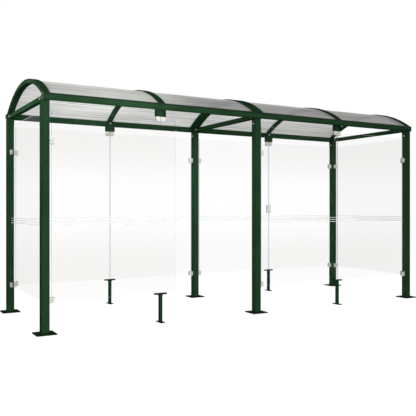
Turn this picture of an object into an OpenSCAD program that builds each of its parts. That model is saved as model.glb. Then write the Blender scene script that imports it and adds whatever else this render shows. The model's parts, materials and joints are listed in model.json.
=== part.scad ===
// Two-bay shelter with a barrel roof. Square posts on base plates carry two eave beams and three tie bars.
// Five bent arches hold curved roof sheets under cover strips, and frameless glass stands in clamps below.
// X runs along the shelter, the front is at -Y, Z is up and the floor is Z = 0.

/* [Layout] */
// Post spacing along the shelter, centre to centre
bay_l = 2500; // [2300:10:2800]
// Post spacing from front to rear, centre to centre
depth = 1500; // [1300:10:1800]
// Clear width of the entrance, from the wide pane's free edge to the middle post
entrance_w = 1026; // [850:1:1100]

/* [Posts] */
// Height of the post tops, which carry the beams and ties
post_h = 2280; // [2240:10:2400]
// Side of the square post tubes
post_w = 80; // [70:1:100]
// Wall of the post tubes
post_wall = 3; // [2:0.5:5]
// Outer corner radius of the post tubes
post_r = 6; // [2:0.5:10]
// Thickness of the plate that closes a post's top
head_t = 6; // [4:1:12]
// Side of the square base plates
base_w = 200; // [170:5:260]
// Thickness of the base plates
base_t = 10; // [6:1:16]
// Corner radius of the base plates
base_r = 8; // [2:1:20]
// Diameter of the anchor holes
anchor_d = 14; // [10:1:18]
// Spacing of the anchor holes, along both sides of a plate
anchor_pitch = 150; // [130:5:160]

/* [Beams and ties] */
// Height of the eave beams
beam_h = 70; // [60:1:100]
// Width of the eave beams
beam_w = 50; // [40:1:55]
// Wall of the beam tubes
beam_wall = 3; // [2:0.5:5]
// Outer corner radius of the beam tubes
beam_r = 16; // [8:0.5:20]
// How far a beam stands out past the posts' outer faces
beam_out = 28; // [10:1:35]
// Rise of the domed caps on the beam ends
cap_rise = 22; // [14:1:24]
// Straight rim of a cap, below its dome
cap_rim = 4; // [2:0.5:6]
// Depth of the plug behind a beam cap
plug_l = 15; // [8:1:30]
// Clearance of the plug in the beam
plug_gap = 0.4; // [0.2:0.1:1]
// Height of the tie bars
tie_h = 52; // [35:1:55]
// Width of the tie bars
tie_w = 50; // [40:1:70]
// Wall of the tie tubes
tie_wall = 3; // [2:0.5:5]
// Outer corner radius of the tie tubes
tie_r = 4; // [2:0.5:8]

/* [Roof] */
// Rise of the roof sheets' outer face above the beam tops
roof_rise = 243; // [200:1:320]
// Thickness of the roof sheets
sheet_t = 10; // [6:1:16]
// Gap between neighbouring roof sheets, under the cover strips
sheet_gap = 8; // [4:1:20]
// Set-back of a roof sheet's end behind the end arch's outer face
sheet_inset = 4; // [1:1:15]
// Radial height of the arch tubes
arch_h = 25; // [20:1:40]
// Width of the end and mid-bay arches
arch_w = 66; // [40:1:70]
// How far the end arches stand out past the end posts' centre lines
arch_out = 25; // [15:1:33]
// Width of the middle arch
middle_arch_w = 135; // [100:1:160]
// Wall of the arch tubes
arch_wall = 2; // [1.5:0.5:4]
// Outer corner radius of the arch tubes
arch_r = 3; // [1:0.5:6]
// Thickness of the cover strips
strip_t = 10; // [5:1:15]
// Overlap of a mid-bay or middle strip past each side of its arch
strip_lap = 5; // [2:1:30]
// Seal gap between curved roof faces
seal_gap = 0.3; // [0.1:0.1:0.8]

/* [Glass] */
// Thickness of the panes
glass_t = 8; // [6:1:12]
// Height of the panes' lower edges
pane_z = 315; // [200:1:400]
// Distance of the panes' upper edges below the post tops
pane_drop = 90; // [70:1:150]
// Gap between a post's face and the pane beside it
pane_gap = 26; // [15:1:35]
// Gap between two panes that meet at mid-bay
seam_gap = 10; // [6:1:20]

/* [Clamps] */
// Reach of a post clamp from the post's face
clamp_l = 54; // [45:1:75]
// Height of a post clamp
clamp_h = 57; // [40:1:70]
// Thickness of the clamps across the glass
clamp_t = 26; // [20:1:34]
// Corner radius at a clamp's free end
clamp_r = 12; // [4:1:18]
// Height of the lower clamps' centres above the panes' lower edges
clamp_low = 11; // [0:1:60]
// Distance of the upper clamps' centres below the panes' upper edges
clamp_high = 303; // [100:1:400]
// Width of a hanger clamp
grip_w = 46; // [35:1:48]
// Height of a hanger clamp
grip_h = 51; // [45:1:70]
// Gap between a pane's upper edge and the hanger above it
grip_gap = 21; // [15:1:35]
// Width of the plate clamp on the rear seam
seam_clamp_w = 67; // [50:1:90]
// Height of the plate clamp on the rear seam
seam_clamp_h = 108; // [80:1:140]
// Thickness of each plate of the rear seam clamp
seam_clamp_t = 6; // [4:1:10]
// Height of the rear seam clamp's centre
seam_clamp_z = 1213; // [900:1:1500]

/* [Hangers and supports] */
// Width of a hanger
hanger_w = 116; // [104:1:140]
// Depth of a hanger, from the beam inwards
hanger_d = 40; // [36:1:50]
// Wall of the folded hanger box
hanger_wall = 4; // [3:0.5:8]
// Length of a support's top bar
bar_l = 140; // [100:1:160]
// Width of a support's top bar
bar_w = 40; // [34:1:60]
// Thickness of a support's top bar
bar_t = 15; // [8:1:20]
// Side of a support's square column
column_w = 35; // [25:1:38]
// Wall of a support's column
column_wall = 2; // [1.5:0.5:4]
// Corner radius of a support's column
column_r = 3; // [1:0.5:5]
// Reach of a gusset under a support's top bar
gusset_w = 13; // [8:1:25]
// Height of a gusset under a support's top bar
gusset_h = 28; // [15:1:45]
// Thickness of a gusset under a support's top bar
gusset_t = 8; // [4:1:12]
// Size of a support's foot along the shelter
foot_l = 50; // [45:1:80]
// Size of a support's foot across the shelter
foot_w = 130; // [80:1:180]
// Thickness of a support's foot
foot_t = 8; // [5:1:12]

/* [Hidden] */
$fn = 48;
roof_fn = 720;
cap_fn = 240;
frame_green = "#24422a";
clamp_grey = "#e2e2dc";
cap_green = "#1c3323";
sheet_grey = "#c8c8c4";
glass_tint = [0.85, 0.92, 0.90, 0.35];
eps = 1;
left_x = -bay_l;
right_x = bay_l;
mid_x = bay_l / 2;
front_y = -depth / 2;
rear_y = depth / 2;
post_half = post_w / 2;
beam_top = post_h + beam_h;
beam_out_y = depth / 2 + post_half + beam_out;
beam_in_y = beam_out_y - beam_w;
beam_mid_y = beam_out_y - beam_w / 2;
end_x = bay_l + arch_out;
arch_end_x = end_x - arch_w / 2;
beam_l = 2 * end_x;
tie_l = 2 * beam_in_y;
seat_z = post_h + tie_h;
// The sheets' lower face meets the inner upper edge of each beam
sheet_ro = (pow(beam_in_y, 2) + pow(roof_rise, 2) - pow(sheet_t, 2)) / (2 * (roof_rise - sheet_t));
sheet_ri = sheet_ro - sheet_t;
roof_cz = beam_top + roof_rise - sheet_ro;
arch_ro = sheet_ri - seal_gap;
arch_rm = arch_ro - arch_h / 2;
strip_ri = sheet_ro + seal_gap;
strip_ro = strip_ri + strip_t;
roof_half_angle = asin(beam_out_y / sheet_ri) + 3;
strip_w = arch_w + 2 * strip_lap;
middle_strip_w = middle_arch_w + 2 * strip_lap;
sheet_end_l = end_x - sheet_inset - mid_x - sheet_gap / 2;
sheet_mid_l = mid_x - sheet_gap;
pane_edge = post_half + pane_gap;
pane_top = post_h - pane_drop;
pane_h = pane_top - pane_z;
half_pane_w = mid_x - pane_edge - seam_gap / 2;
end_pane_w = depth - 2 * pane_edge;
wide_pane_w = bay_l - post_half - entrance_w - pane_edge;
clamp_zs = [pane_z + clamp_low, pane_top - clamp_high];
hanger_z = pane_top + grip_gap;
grip_x = (seam_gap + grip_w) / 2;

// Rectangle with round corners, centred
module rounded(w, h, r) {
    square([w - 2 * r, h], center = true);
    square([w, h - 2 * r], center = true);
    for (sx = [-1, 1], sy = [-1, 1])
        translate([sx * (w / 2 - r), sy * (h / 2 - r)])
            circle(r = r);
}

// Wall section of a rectangular tube
module tube_section(w, h, r, wall) {
    difference() {
        rounded(w, h, r);
        rounded(w - 2 * wall, h - 2 * wall, max(r - wall, 0.5));
    }
}

// Turns a section drawn in Y and Z so that it runs along X
module along_x() {
    rotate([90, 0, 90])
        children();
}

// Ring about the roof's axis, swept from a profile drawn at its radius
module roof_sweep() {
    translate([0, 0, roof_cz])
        along_x()
            rotate([0, 0, 90 - roof_half_angle])
                rotate_extrude(angle = 2 * roof_half_angle, $fn = roof_fn)
                    children();
}

// Block that keeps what lies above a height and within a half width
module keep_above(z, half_y, x0, x1) {
    translate([x0 - eps, -half_y, z])
        cube([x1 - x0 + 2 * eps, 2 * half_y, beam_top + roof_rise + strip_t + eps - z]);
}

// Square post with a closed top, standing on its base plate
module post(x, y) {
    tube_l = post_h - base_t;
    color(frame_green)
        translate([x, y, base_t])
            difference() {
                linear_extrude(tube_l)
                    rounded(post_w, post_w, post_r);
                translate([0, 0, -eps])
                    linear_extrude(tube_l - head_t + eps)
                        rounded(post_w - 2 * post_wall, post_w - 2 * post_wall, max(post_r - post_wall, 0.5));
            }
}

// Base plate with four anchor holes
module base_plate(x, y) {
    translate([x, y, 0])
        difference() {
            linear_extrude(base_t)
                rounded(base_w, base_w, base_r);
            for (sx = [-1, 1], sy = [-1, 1])
                translate([sx * anchor_pitch / 2, sy * anchor_pitch / 2, -eps])
                    cylinder(d = anchor_d, h = base_t + 2 * eps);
        }
}

// Base plates of one row of posts
module base_plates(y) {
    color(frame_green)
        for (x = [left_x, 0, right_x])
            base_plate(x, y);
}

// Eave beam along one side
module beam(side) {
    color(frame_green)
        translate([0, side * beam_mid_y, post_h + beam_h / 2])
            along_x()
                linear_extrude(beam_l, center = true)
                    tube_section(beam_w, beam_h, beam_r, beam_wall);
}

// Radius of a dome that rises over a flat of given width
function dome_r(w) = (pow(w / 2, 2) + pow(cap_rise - cap_rim, 2)) / (2 * (cap_rise - cap_rim));

// Domed cap with a plug for the beam end at +X
module beam_cap() {
    plug_w = beam_w - 2 * beam_wall - 2 * plug_gap;
    plug_h = beam_h - 2 * beam_wall - 2 * plug_gap;
    upright_r = dome_r(beam_h);
    level_r = dome_r(beam_w);
    intersection() {
        along_x()
            linear_extrude(cap_rise)
                rounded(beam_w, beam_h, beam_r);
        translate([cap_rise - upright_r, 0, 0])
            rotate([90, 0, 0])
                cylinder(r = upright_r, h = 2 * beam_w, center = true, $fn = cap_fn);
        translate([cap_rise - level_r, 0, 0])
            cylinder(r = level_r, h = 2 * beam_h, center = true, $fn = cap_fn);
    }
    along_x()
        translate([0, 0, -plug_l])
            linear_extrude(plug_l + eps)
                rounded(plug_w, plug_h, max(beam_r - beam_wall, 0.5));
}

// Caps on the four beam ends
module beam_caps() {
    color(cap_green)
        for (turn = [0, 180], side = [-1, 1])
            rotate([0, 0, turn])
                translate([beam_l / 2, side * beam_mid_y, post_h + beam_h / 2])
                    beam_cap();
}

// Tie bar across the shelter, from beam to beam on the post tops
module tie(x) {
    color(frame_green)
        translate([x, 0, post_h + tie_h / 2])
            rotate([90, 0, 0])
                linear_extrude(tie_l, center = true)
                    tube_section(tie_w, tie_h, tie_r, tie_wall);
}

// Bent arch tube from beam to beam
module arch(x, w) {
    color(frame_green)
        translate([x, 0, 0])
            intersection() {
                roof_sweep()
                    translate([arch_rm, 0])
                        tube_section(arch_h, w, arch_r, arch_wall);
                keep_above(seat_z, beam_in_y, -w / 2, w / 2);
            }
}

// Curved band about the roof's axis between two radii, cut level with the beam tops
module roof_band(x0, x1, r_in, r_out) {
    intersection() {
        roof_sweep()
            translate([r_in, x0])
                square([r_out - r_in, x1 - x0]);
        keep_above(beam_top, beam_out_y, x0, x1);
    }
}

// Roof sheet between two arches
module roof_sheet(x0, length) {
    color(sheet_grey)
        roof_band(x0, x0 + length, sheet_ri, sheet_ro);
}

// Cover strips over all the arches
module cover_strips() {
    color(frame_green) {
        for (turn = [0, 180])
            rotate([0, 0, turn]) {
                roof_band(end_x - arch_w, end_x, strip_ri, strip_ro);
                roof_band(mid_x - strip_w / 2, mid_x + strip_w / 2, strip_ri, strip_ro);
            }
        roof_band(-middle_strip_w / 2, middle_strip_w / 2, strip_ri, strip_ro);
    }
}

// Pane in the front or rear wall
module wall_pane(x0, w, y) {
    color(glass_tint)
        translate([x0, y - glass_t / 2, pane_z])
            cube([w, glass_t, pane_h]);
}

// Pane across one end
module end_pane(x) {
    color(glass_tint)
        translate([x - glass_t / 2, -end_pane_w / 2, pane_z])
            cube([glass_t, end_pane_w, pane_h]);
}

// Post clamp that reaches along +X from a post's face, with a slot for the glass
module clamp() {
    difference() {
        rotate([90, 0, 0])
            linear_extrude(clamp_t, center = true)
                difference() {
                    translate([(clamp_l - clamp_r) / 2, 0])
                        rounded(clamp_l + clamp_r, clamp_h, clamp_r);
                    translate([-2 * clamp_r, -clamp_h])
                        square([2 * clamp_r, 2 * clamp_h]);
                }
        translate([pane_gap, -glass_t / 2, -clamp_h])
            cube([clamp_l, glass_t, 2 * clamp_h]);
    }
}

// Lower and upper clamp on one face of a post, turned to face along the pane
module clamp_pair(x, y, turn) {
    color(clamp_grey)
        for (z = clamp_zs)
            translate([x, y, z])
                rotate([0, 0, turn])
                    clamp();
}

// Clamps of the front wall, which leave the entrance side of the middle post free
module front_clamps() {
    clamp_pair(left_x + post_half, front_y, 0);
    clamp_pair(post_half, front_y, 0);
    clamp_pair(right_x - post_half, front_y, 180);
}

// Clamps of the rear wall
module rear_clamps() {
    clamp_pair(left_x + post_half, rear_y, 0);
    clamp_pair(-post_half, rear_y, 180);
    clamp_pair(post_half, rear_y, 0);
    clamp_pair(right_x - post_half, rear_y, 180);
}

// Clamps of one end wall
module end_clamps(x) {
    clamp_pair(x, front_y + post_half, 90);
    clamp_pair(x, rear_y - post_half, 270);
}

// Clamp under a hanger, open downwards for the glass
module grip() {
    difference() {
        translate([-grip_w / 2, -clamp_t / 2, hanger_z - grip_h])
            cube([grip_w, clamp_t, grip_h]);
        translate([-grip_w, -glass_t / 2, hanger_z - grip_h - eps])
            cube([2 * grip_w, glass_t, grip_h - grip_gap + eps]);
    }
}

// Two clamps under each of the four hangers
module hanger_clamps() {
    color(clamp_grey)
        for (x = [-mid_x, mid_x], y = [front_y, rear_y], s = [-1, 1])
            translate([x + s * grip_x, y, 0])
                grip();
}

// Plate clamp that joins the two panes at the rear seam of the right bay
module rear_seam_clamp() {
    plate_y = glass_t / 2;
    color(clamp_grey)
        translate([mid_x, rear_y, seam_clamp_z]) {
            for (turn = [0, 180])
                rotate([0, 0, turn])
                    translate([-seam_clamp_w / 2, plate_y, -seam_clamp_h / 2])
                        cube([seam_clamp_w, seam_clamp_t, seam_clamp_h]);
            translate([-seam_gap / 2, -plate_y - eps, -seam_clamp_h / 2])
                cube([seam_gap, glass_t + 2 * eps, seam_clamp_h]);
        }
}

// Folded box on the beam's inner face, which seats a mid-bay arch and carries clamps
module hanger() {
    difference() {
        translate([-hanger_w / 2, beam_in_y - hanger_d, hanger_z])
            cube([hanger_w, hanger_d, seat_z - hanger_z]);
        translate([-hanger_w / 2 + hanger_wall, beam_in_y - hanger_d + hanger_wall, hanger_z + hanger_wall])
            cube([hanger_w - 2 * hanger_wall, hanger_d, seat_z - hanger_z - 2 * hanger_wall]);
    }
}

// Hangers of one side, at the middle of both bays
module hangers(turn) {
    color(frame_green)
        rotate([0, 0, turn])
            for (x = [-mid_x, mid_x])
                translate([x, 0, 0])
                    hanger();
}

// Stand under the panes at mid-bay: foot, column, gussets and top bar
module pane_support() {
    column_l = pane_z - bar_t - foot_t;
    translate([-foot_l / 2, -foot_w / 2, 0])
        cube([foot_l, foot_w, foot_t]);
    translate([0, 0, foot_t])
        linear_extrude(column_l)
            tube_section(column_w, column_w, column_r, column_wall);
    for (turn = [0, 180])
        rotate([90, 0, turn])
            translate([column_w / 2 - column_wall / 2, pane_z - bar_t, 0])
                linear_extrude(gusset_t, center = true)
                    polygon([[0, 0], [gusset_w + column_wall / 2, 0], [0, -gusset_h]]);
    translate([-bar_l / 2, -bar_w / 2, pane_z - bar_t])
        cube([bar_l, bar_w, bar_t]);
}

// Supports of one wall, at the middle of both bays
module pane_supports(y) {
    color(frame_green)
        for (x = [-mid_x, mid_x])
            translate([x, y, 0])
                pane_support();
}

post(left_x, front_y);  // front_left_post
post(0, front_y);  // front_middle_post
post(right_x, front_y);  // front_right_post
post(left_x, rear_y);  // rear_left_post
post(0, rear_y);  // rear_middle_post
post(right_x, rear_y);  // rear_right_post
base_plates(front_y);  // front_base_plates
base_plates(rear_y);  // rear_base_plates
beam(-1);  // front_beam
beam(1);  // rear_beam
beam_caps();
tie(left_x);  // left_tie
tie(0);  // middle_tie
tie(right_x);  // right_tie
arch(-arch_end_x, arch_w);  // left_end_arch
arch(-mid_x, arch_w);  // left_bay_arch
arch(0, middle_arch_w);  // middle_arch
arch(mid_x, arch_w);  // right_bay_arch
arch(arch_end_x, arch_w);  // right_end_arch
roof_sheet(sheet_inset - end_x, sheet_end_l);  // left_end_roof_sheet
roof_sheet(sheet_gap / 2 - mid_x, sheet_mid_l);  // left_middle_roof_sheet
roof_sheet(sheet_gap / 2, sheet_mid_l);  // right_middle_roof_sheet
roof_sheet(mid_x + sheet_gap / 2, sheet_end_l);  // right_end_roof_sheet
cover_strips();
end_pane(left_x);  // left_end_pane
end_pane(right_x);  // right_end_pane
wall_pane(left_x + pane_edge, wide_pane_w, front_y);  // front_wide_pane
wall_pane(pane_edge, half_pane_w, front_y);  // front_inner_pane
wall_pane(mid_x + seam_gap / 2, half_pane_w, front_y);  // front_outer_pane
wall_pane(left_x + pane_edge, half_pane_w, rear_y);  // rear_left_outer_pane
wall_pane(seam_gap / 2 - mid_x, half_pane_w, rear_y);  // rear_left_inner_pane
wall_pane(pane_edge, half_pane_w, rear_y);  // rear_right_inner_pane
wall_pane(mid_x + seam_gap / 2, half_pane_w, rear_y);  // rear_right_outer_pane
front_clamps();
rear_clamps();
end_clamps(left_x);  // left_end_clamps
end_clamps(right_x);  // right_end_clamps
hanger_clamps();
rear_seam_clamp();
hangers(180);  // front_hangers
hangers(0);  // rear_hangers
pane_supports(front_y);  // front_pane_supports
pane_supports(rear_y);  // rear_pane_supports
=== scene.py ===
"""Finishes, fixings and studio for a two-bay glazed shelter with a barrel roof.

X runs along the shelter, the front is at -Y, Z is up and the floor is Z = 0. All lengths are in metres.
"""

import json
import logging
import math
from collections.abc import Iterable
from dataclasses import dataclass
from enum import Enum

import bmesh
import bpy
from mathutils import Matrix, Vector

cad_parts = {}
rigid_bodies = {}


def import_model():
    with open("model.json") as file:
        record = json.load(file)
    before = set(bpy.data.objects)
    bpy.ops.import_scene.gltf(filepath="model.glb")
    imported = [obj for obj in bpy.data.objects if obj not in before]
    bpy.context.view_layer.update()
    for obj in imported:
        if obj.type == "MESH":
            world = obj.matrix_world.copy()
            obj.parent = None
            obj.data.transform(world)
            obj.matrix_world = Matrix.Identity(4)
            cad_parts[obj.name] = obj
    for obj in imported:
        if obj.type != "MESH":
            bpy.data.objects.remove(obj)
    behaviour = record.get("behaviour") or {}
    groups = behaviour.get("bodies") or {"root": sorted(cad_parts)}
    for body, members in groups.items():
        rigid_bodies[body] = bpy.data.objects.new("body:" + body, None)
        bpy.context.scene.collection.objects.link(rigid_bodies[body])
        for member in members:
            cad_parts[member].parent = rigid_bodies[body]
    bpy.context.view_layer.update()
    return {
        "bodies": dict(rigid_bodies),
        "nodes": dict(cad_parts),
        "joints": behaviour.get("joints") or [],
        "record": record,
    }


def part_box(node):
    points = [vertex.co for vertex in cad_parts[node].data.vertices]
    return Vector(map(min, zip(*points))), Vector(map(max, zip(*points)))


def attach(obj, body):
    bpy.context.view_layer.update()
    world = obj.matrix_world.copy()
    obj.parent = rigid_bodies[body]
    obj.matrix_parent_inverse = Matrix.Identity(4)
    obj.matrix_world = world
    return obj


LOG = logging.getLogger("shelter")
MM = 0.001
BODY = "root"
PHOTO_SIDE = 416
SAME_POINT = 0.01 * MM
PLACE_DIGITS = 4
X, Y, Z = range(3)
SIDES = (-1, 1)

Point = tuple[float, float, float]
Span = tuple[float, float]
Colour = tuple[float, float, float, float]
Profile = list[tuple[float, float]]
Nodes = dict[str, bpy.types.Object]
Socket = bpy.types.NodeSocket
Source = bpy.types.NodeSocket | float | Colour

WHITE: Colour = (1.0, 1.0, 1.0, 1.0)
BLACK: Colour = (0.0, 0.0, 0.0, 1.0)


class Slot(Enum):
    """Material slots of the record that the fittings use."""

    PAINT = "frame_paint"
    GLASS = "glass"
    METAL = "clamp_metal"


def linear(red: int, green: int, blue: int) -> Colour:
    """Turns an 8-bit display colour into a linear one.

    Args:
        red: Red, 0 to 255.
        green: Green, 0 to 255.
        blue: Blue, 0 to 255.

    Returns:
        The linear colour with full alpha.
    """
    parts = [channel / 255 for channel in (red, green, blue)]
    curve = [p / 12.92 if p <= 0.04045 else ((p + 0.055) / 1.055) ** 2.4 for p in parts]
    return (curve[0], curve[1], curve[2], 1.0)


@dataclass(frozen=True)
class Box:
    """Lowest and highest corner of one solid."""

    low: Vector
    high: Vector

    @property
    def centre(self) -> Vector:
        """Middle of the box."""
        return (self.low + self.high) / 2

    @property
    def size(self) -> Vector:
        """Extent of the box along each axis."""
        return self.high - self.low

    def face(self, axis: int, side: int) -> float:
        """Place of the lower (-1) or upper (1) face along an axis."""
        return self.high[axis] if side > 0 else self.low[axis]


def unit(axis: int, side: int) -> Vector:
    """Direction towards the lower (-1) or upper (1) end of an axis."""
    return Vector([side if index == axis else 0 for index in range(3)])


def node_box(node: str) -> Box:
    """Box of one CAD node."""
    return Box(*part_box(node))


def solid_boxes(obj: bpy.types.Object) -> list[Box]:
    """Boxes of the separate solids in one CAD node.

    Args:
        obj: The node's mesh object.

    Returns:
        One box for each connected solid, sorted by place.
    """
    mesh = bmesh.new()
    mesh.from_mesh(obj.data)
    bmesh.ops.remove_doubles(mesh, verts=mesh.verts, dist=SAME_POINT)
    left = set(mesh.verts)
    boxes = []
    while left:
        seed = left.pop()
        island = [seed]
        stack = [seed]
        while stack:
            for edge in stack.pop().link_edges:
                fresh = [vert for vert in edge.verts if vert in left]
                left.difference_update(fresh)
                island.extend(fresh)
                stack.extend(fresh)
        low = Vector([min(v.co[i] for v in island) for i in range(3)])
        high = Vector([max(v.co[i] for v in island) for i in range(3)])
        boxes.append(Box(low, high))
    mesh.free()
    return sorted(boxes, key=lambda b: tuple(round(c, PLACE_DIGITS) for c in b.centre))


class NodeMaker:
    """Adds nodes to one shader node tree."""

    def __init__(self, tree: bpy.types.NodeTree) -> None:
        """Takes the tree to add to."""
        self.tree = tree

    def node(self, kind: str, **settings: object) -> bpy.types.Node:
        """Adds a shader node and sets its properties.

        Args:
            kind: Blender's name of the node, without ShaderNode.
            **settings: Properties of the node.

        Returns:
            The node.
        """
        made = self.tree.nodes.new("ShaderNode" + kind)
        for name, value in settings.items():
            setattr(made, name, value)
        return made

    def feed(self, socket: Socket, source: Source) -> None:
        """Links a socket, or sets its constant.

        Args:
            socket: The input.
            source: Socket or constant that it takes.
        """
        if isinstance(source, Socket):
            self.tree.links.new(source, socket)
        else:
            socket.default_value = source

    def fill(self, node: bpy.types.Node, **sources: Source) -> bpy.types.Node:
        """Feeds several inputs of a node.

        Args:
            node: The node.
            **sources: Socket or constant of each input, with underscores for spaces in its name.

        Returns:
            The node.
        """
        for name, source in sources.items():
            self.feed(node.inputs[name.replace("_", " ")], source)
        return node

    def math(self, operation: str, first: Source, second: Source = 0.0) -> Socket:
        """Adds a Math node.

        Args:
            operation: Blender's name of the operation.
            first: First value.
            second: Second value, where the operation takes two.

        Returns:
            The result.
        """
        made = self.node("Math", operation=operation)
        self.feed(made.inputs[0], first)
        self.feed(made.inputs[1], second)
        return made.outputs[0]

    def step(self, value: Source, low: Source, high: Source) -> Socket:
        """Maps low..high to 0..1 with a smooth, clamped step."""
        made = self.node("MapRange", interpolation_type="SMOOTHSTEP")
        return self.fill(made, Value=value, From_Min=low, From_Max=high).outputs["Result"]

    def scaled(self, mask: Source, low: float, high: float) -> Socket:
        """Maps a mask from 0..1 to low..high."""
        return self.fill(self.node("MapRange"), Value=mask, To_Min=low, To_Max=high).outputs["Result"]

    def place(self) -> Socket:
        """Point on a piece, in the shared frame."""
        return self.node("TexCoord").outputs["Object"]

    def flat_normal(self) -> Socket:
        """Direction that a face is turned to."""
        return self.node("NewGeometry").outputs["True Normal"]

    def split(self, vector: Socket) -> list[Socket]:
        """X, Y and Z of a vector."""
        return list(self.fill(self.node("SeparateXYZ"), Vector=vector).outputs)


class GroupMaker(NodeMaker):
    """Builds one shader node group with named inputs and outputs."""

    def __init__(self, name: str) -> None:
        """Starts an empty group.

        Args:
            name: Name of the group.
        """
        super().__init__(bpy.data.node_groups.new(name, "ShaderNodeTree"))
        self.entry = self.tree.nodes.new("NodeGroupInput")
        self.exit = self.tree.nodes.new("NodeGroupOutput")

    def value_in(self, name: str, default: float) -> Socket:
        """Adds a number input.

        Args:
            name: Name of the input.
            default: Value that it starts with.

        Returns:
            Its socket inside the group.
        """
        made = self.tree.interface.new_socket(name, in_out="INPUT", socket_type="NodeSocketFloat")
        made.default_value = default
        return self.entry.outputs[name]

    def put_out(self, name: str, socket: Socket, kind: str = "NodeSocketFloat") -> None:
        """Adds an output and feeds it."""
        self.tree.interface.new_socket(name, in_out="OUTPUT", socket_type=kind)
        self.tree.links.new(socket, self.exit.inputs[name])

    def join(self, x: Source, y: Source, z: Source) -> Socket:
        """A vector from its parts."""
        return self.fill(self.node("CombineXYZ"), X=x, Y=y, Z=z).outputs[0]

    def noise(self, vector: Socket, scale: Source, detail: float) -> Socket:
        """Noise value at a point."""
        made = self.fill(self.node("TexNoise"), Vector=vector, Scale=scale, Detail=detail)
        return made.outputs["Fac"]


class Effects:
    """Surface effects that the materials share, each built once as a node group."""

    LYING_SHARE = 0.8
    FINE_SHARE = 0.55
    RIB_BREAKS: Span = (0.9, 0.31)

    def __init__(self) -> None:
        """Builds every group."""
        self.coat_grain = self._coat_grain()
        self.dirt_and_shade_group = self._dirt_and_shade_group()
        self.edge_tone = self._edge_tone()
        self.lengthwise_streaks = self._lengthwise_streaks()
        self.sheet_ribs = self._sheet_ribs()

    @staticmethod
    def _coat_grain() -> bpy.types.NodeTree:
        """Fine orange-peel height and a broad unevenness of tone.

        Returns:
            The group.
        """
        group = GroupMaker("Coat Grain")
        fine_scale = group.value_in("Fine Scale", 420.0)
        broad_scale = group.value_in("Broad Scale", 2.5)
        place = group.place()
        group.put_out("Height", group.noise(place, fine_scale, detail=2.0))
        broad = group.noise(place, broad_scale, detail=4.0)
        group.put_out("Tone", group.step(broad, low=0.3, high=0.7))
        return group.tree

    @staticmethod
    def _dirt_and_shade_group() -> bpy.types.NodeTree:
        """Mask of upward faces and of splash near the floor: dust on the light finishes, painted shade on
        the powder coat.

        Returns:
            The group.
        """
        group = GroupMaker("Settled Dirt And Shade")
        amount = group.value_in("Amount", 0.4)
        reach = group.value_in("Splash Reach", 0.35)
        place = group.place()
        upward = group.split(group.node("NewGeometry").outputs["Normal"])[Z]
        patches = group.step(group.noise(place, scale=9.0, detail=6.0), low=0.35, high=0.75)
        # Upward faces: dust on the light finishes, painted shade on the powder coat.
        lying = group.math("MULTIPLY", group.step(upward, low=0.3, high=0.95), Effects.LYING_SHARE)
        height = group.split(place)[Z]
        splash = group.math("SUBTRACT", 1.0, group.step(height, low=0.0, high=reach))
        both = group.math("MAXIMUM", lying, splash)
        spotted = group.math("MULTIPLY", both, group.scaled(patches, low=0.3, high=1.0))
        group.put_out("Mask", group.math("MULTIPLY", spotted, amount))
        return group.tree

    @staticmethod
    def _edge_tone() -> bpy.types.NodeTree:
        """Broken mask along the edges, and a normal that rounds them.

        Returns:
            The group.
        """
        group = GroupMaker("Edge Tone")
        radius = group.value_in("Radius", 2.0 * MM)
        rounded = group.fill(group.node("Bevel", samples=4), Radius=radius).outputs["Normal"]
        turn = group.node("VectorMath", operation="DOT_PRODUCT")
        group.feed(turn.inputs[0], rounded)
        group.feed(turn.inputs[1], group.flat_normal())
        near = group.step(turn.outputs["Value"], low=0.999, high=0.93)
        patches = group.noise(group.place(), scale=60.0, detail=5.0)
        broken = group.step(patches, low=0.3, high=0.62)
        group.put_out("Mask", group.math("MULTIPLY", near, broken))
        group.put_out("Normal", rounded, "NodeSocketVector")
        return group.tree

    @staticmethod
    def _lengthwise_streaks() -> bpy.types.NodeTree:
        """Streaks drawn out along the shelter.

        Returns:
            The group.
        """
        group = GroupMaker("Lengthwise Streaks")
        along = group.value_in("Along Scale", 0.6)
        across = group.value_in("Across Scale", 30.0)
        scales = (along, across, across)
        parts = zip(group.split(group.place()), scales)
        stretched = group.join(*[group.math("MULTIPLY", part, scale) for part, scale in parts])
        fine = group.noise(stretched, scale=1.0, detail=4.0)
        coarse = group.noise(stretched, scale=0.23, detail=2.0)
        fine = group.math("MULTIPLY", fine, Effects.FINE_SHARE)
        coarse = group.math("MULTIPLY", coarse, 1 - Effects.FINE_SHARE)
        group.put_out("Mask", group.step(group.math("ADD", fine, coarse), low=0.36, high=0.64))
        return group.tree

    @staticmethod
    def _sheet_ribs() -> bpy.types.NodeTree:
        """Lines of the inner walls of a hollow sheet, at equal steps round the roof's curve.

        Returns:
            The group.
        """
        group = GroupMaker("Sheet Ribs")
        pitch = group.value_in("Pitch", 40.0 * MM)
        radius = group.value_in("Radius", 1.5)
        centre = group.value_in("Centre Z", 1.0)
        x, y, z = group.split(group.place())
        angle = group.math("ARCTAN2", y, group.math("SUBTRACT", z, centre))
        turns = group.math("DIVIDE", group.math("MULTIPLY", angle, radius), pitch)
        wave = group.math("SINE", group.math("MULTIPLY", turns, 2 * math.pi))
        along, across = Effects.RIB_BREAKS
        drawn = group.join(group.math("MULTIPLY", x, along), group.math("MULTIPLY", turns, across), 0.0)
        strength = group.step(group.noise(drawn, scale=1.0, detail=3.0), low=0.35, high=0.65)
        line = group.step(wave, low=0.0, high=1.0)
        group.put_out("Mask", group.math("MULTIPLY", line, strength))
        return group.tree


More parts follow.
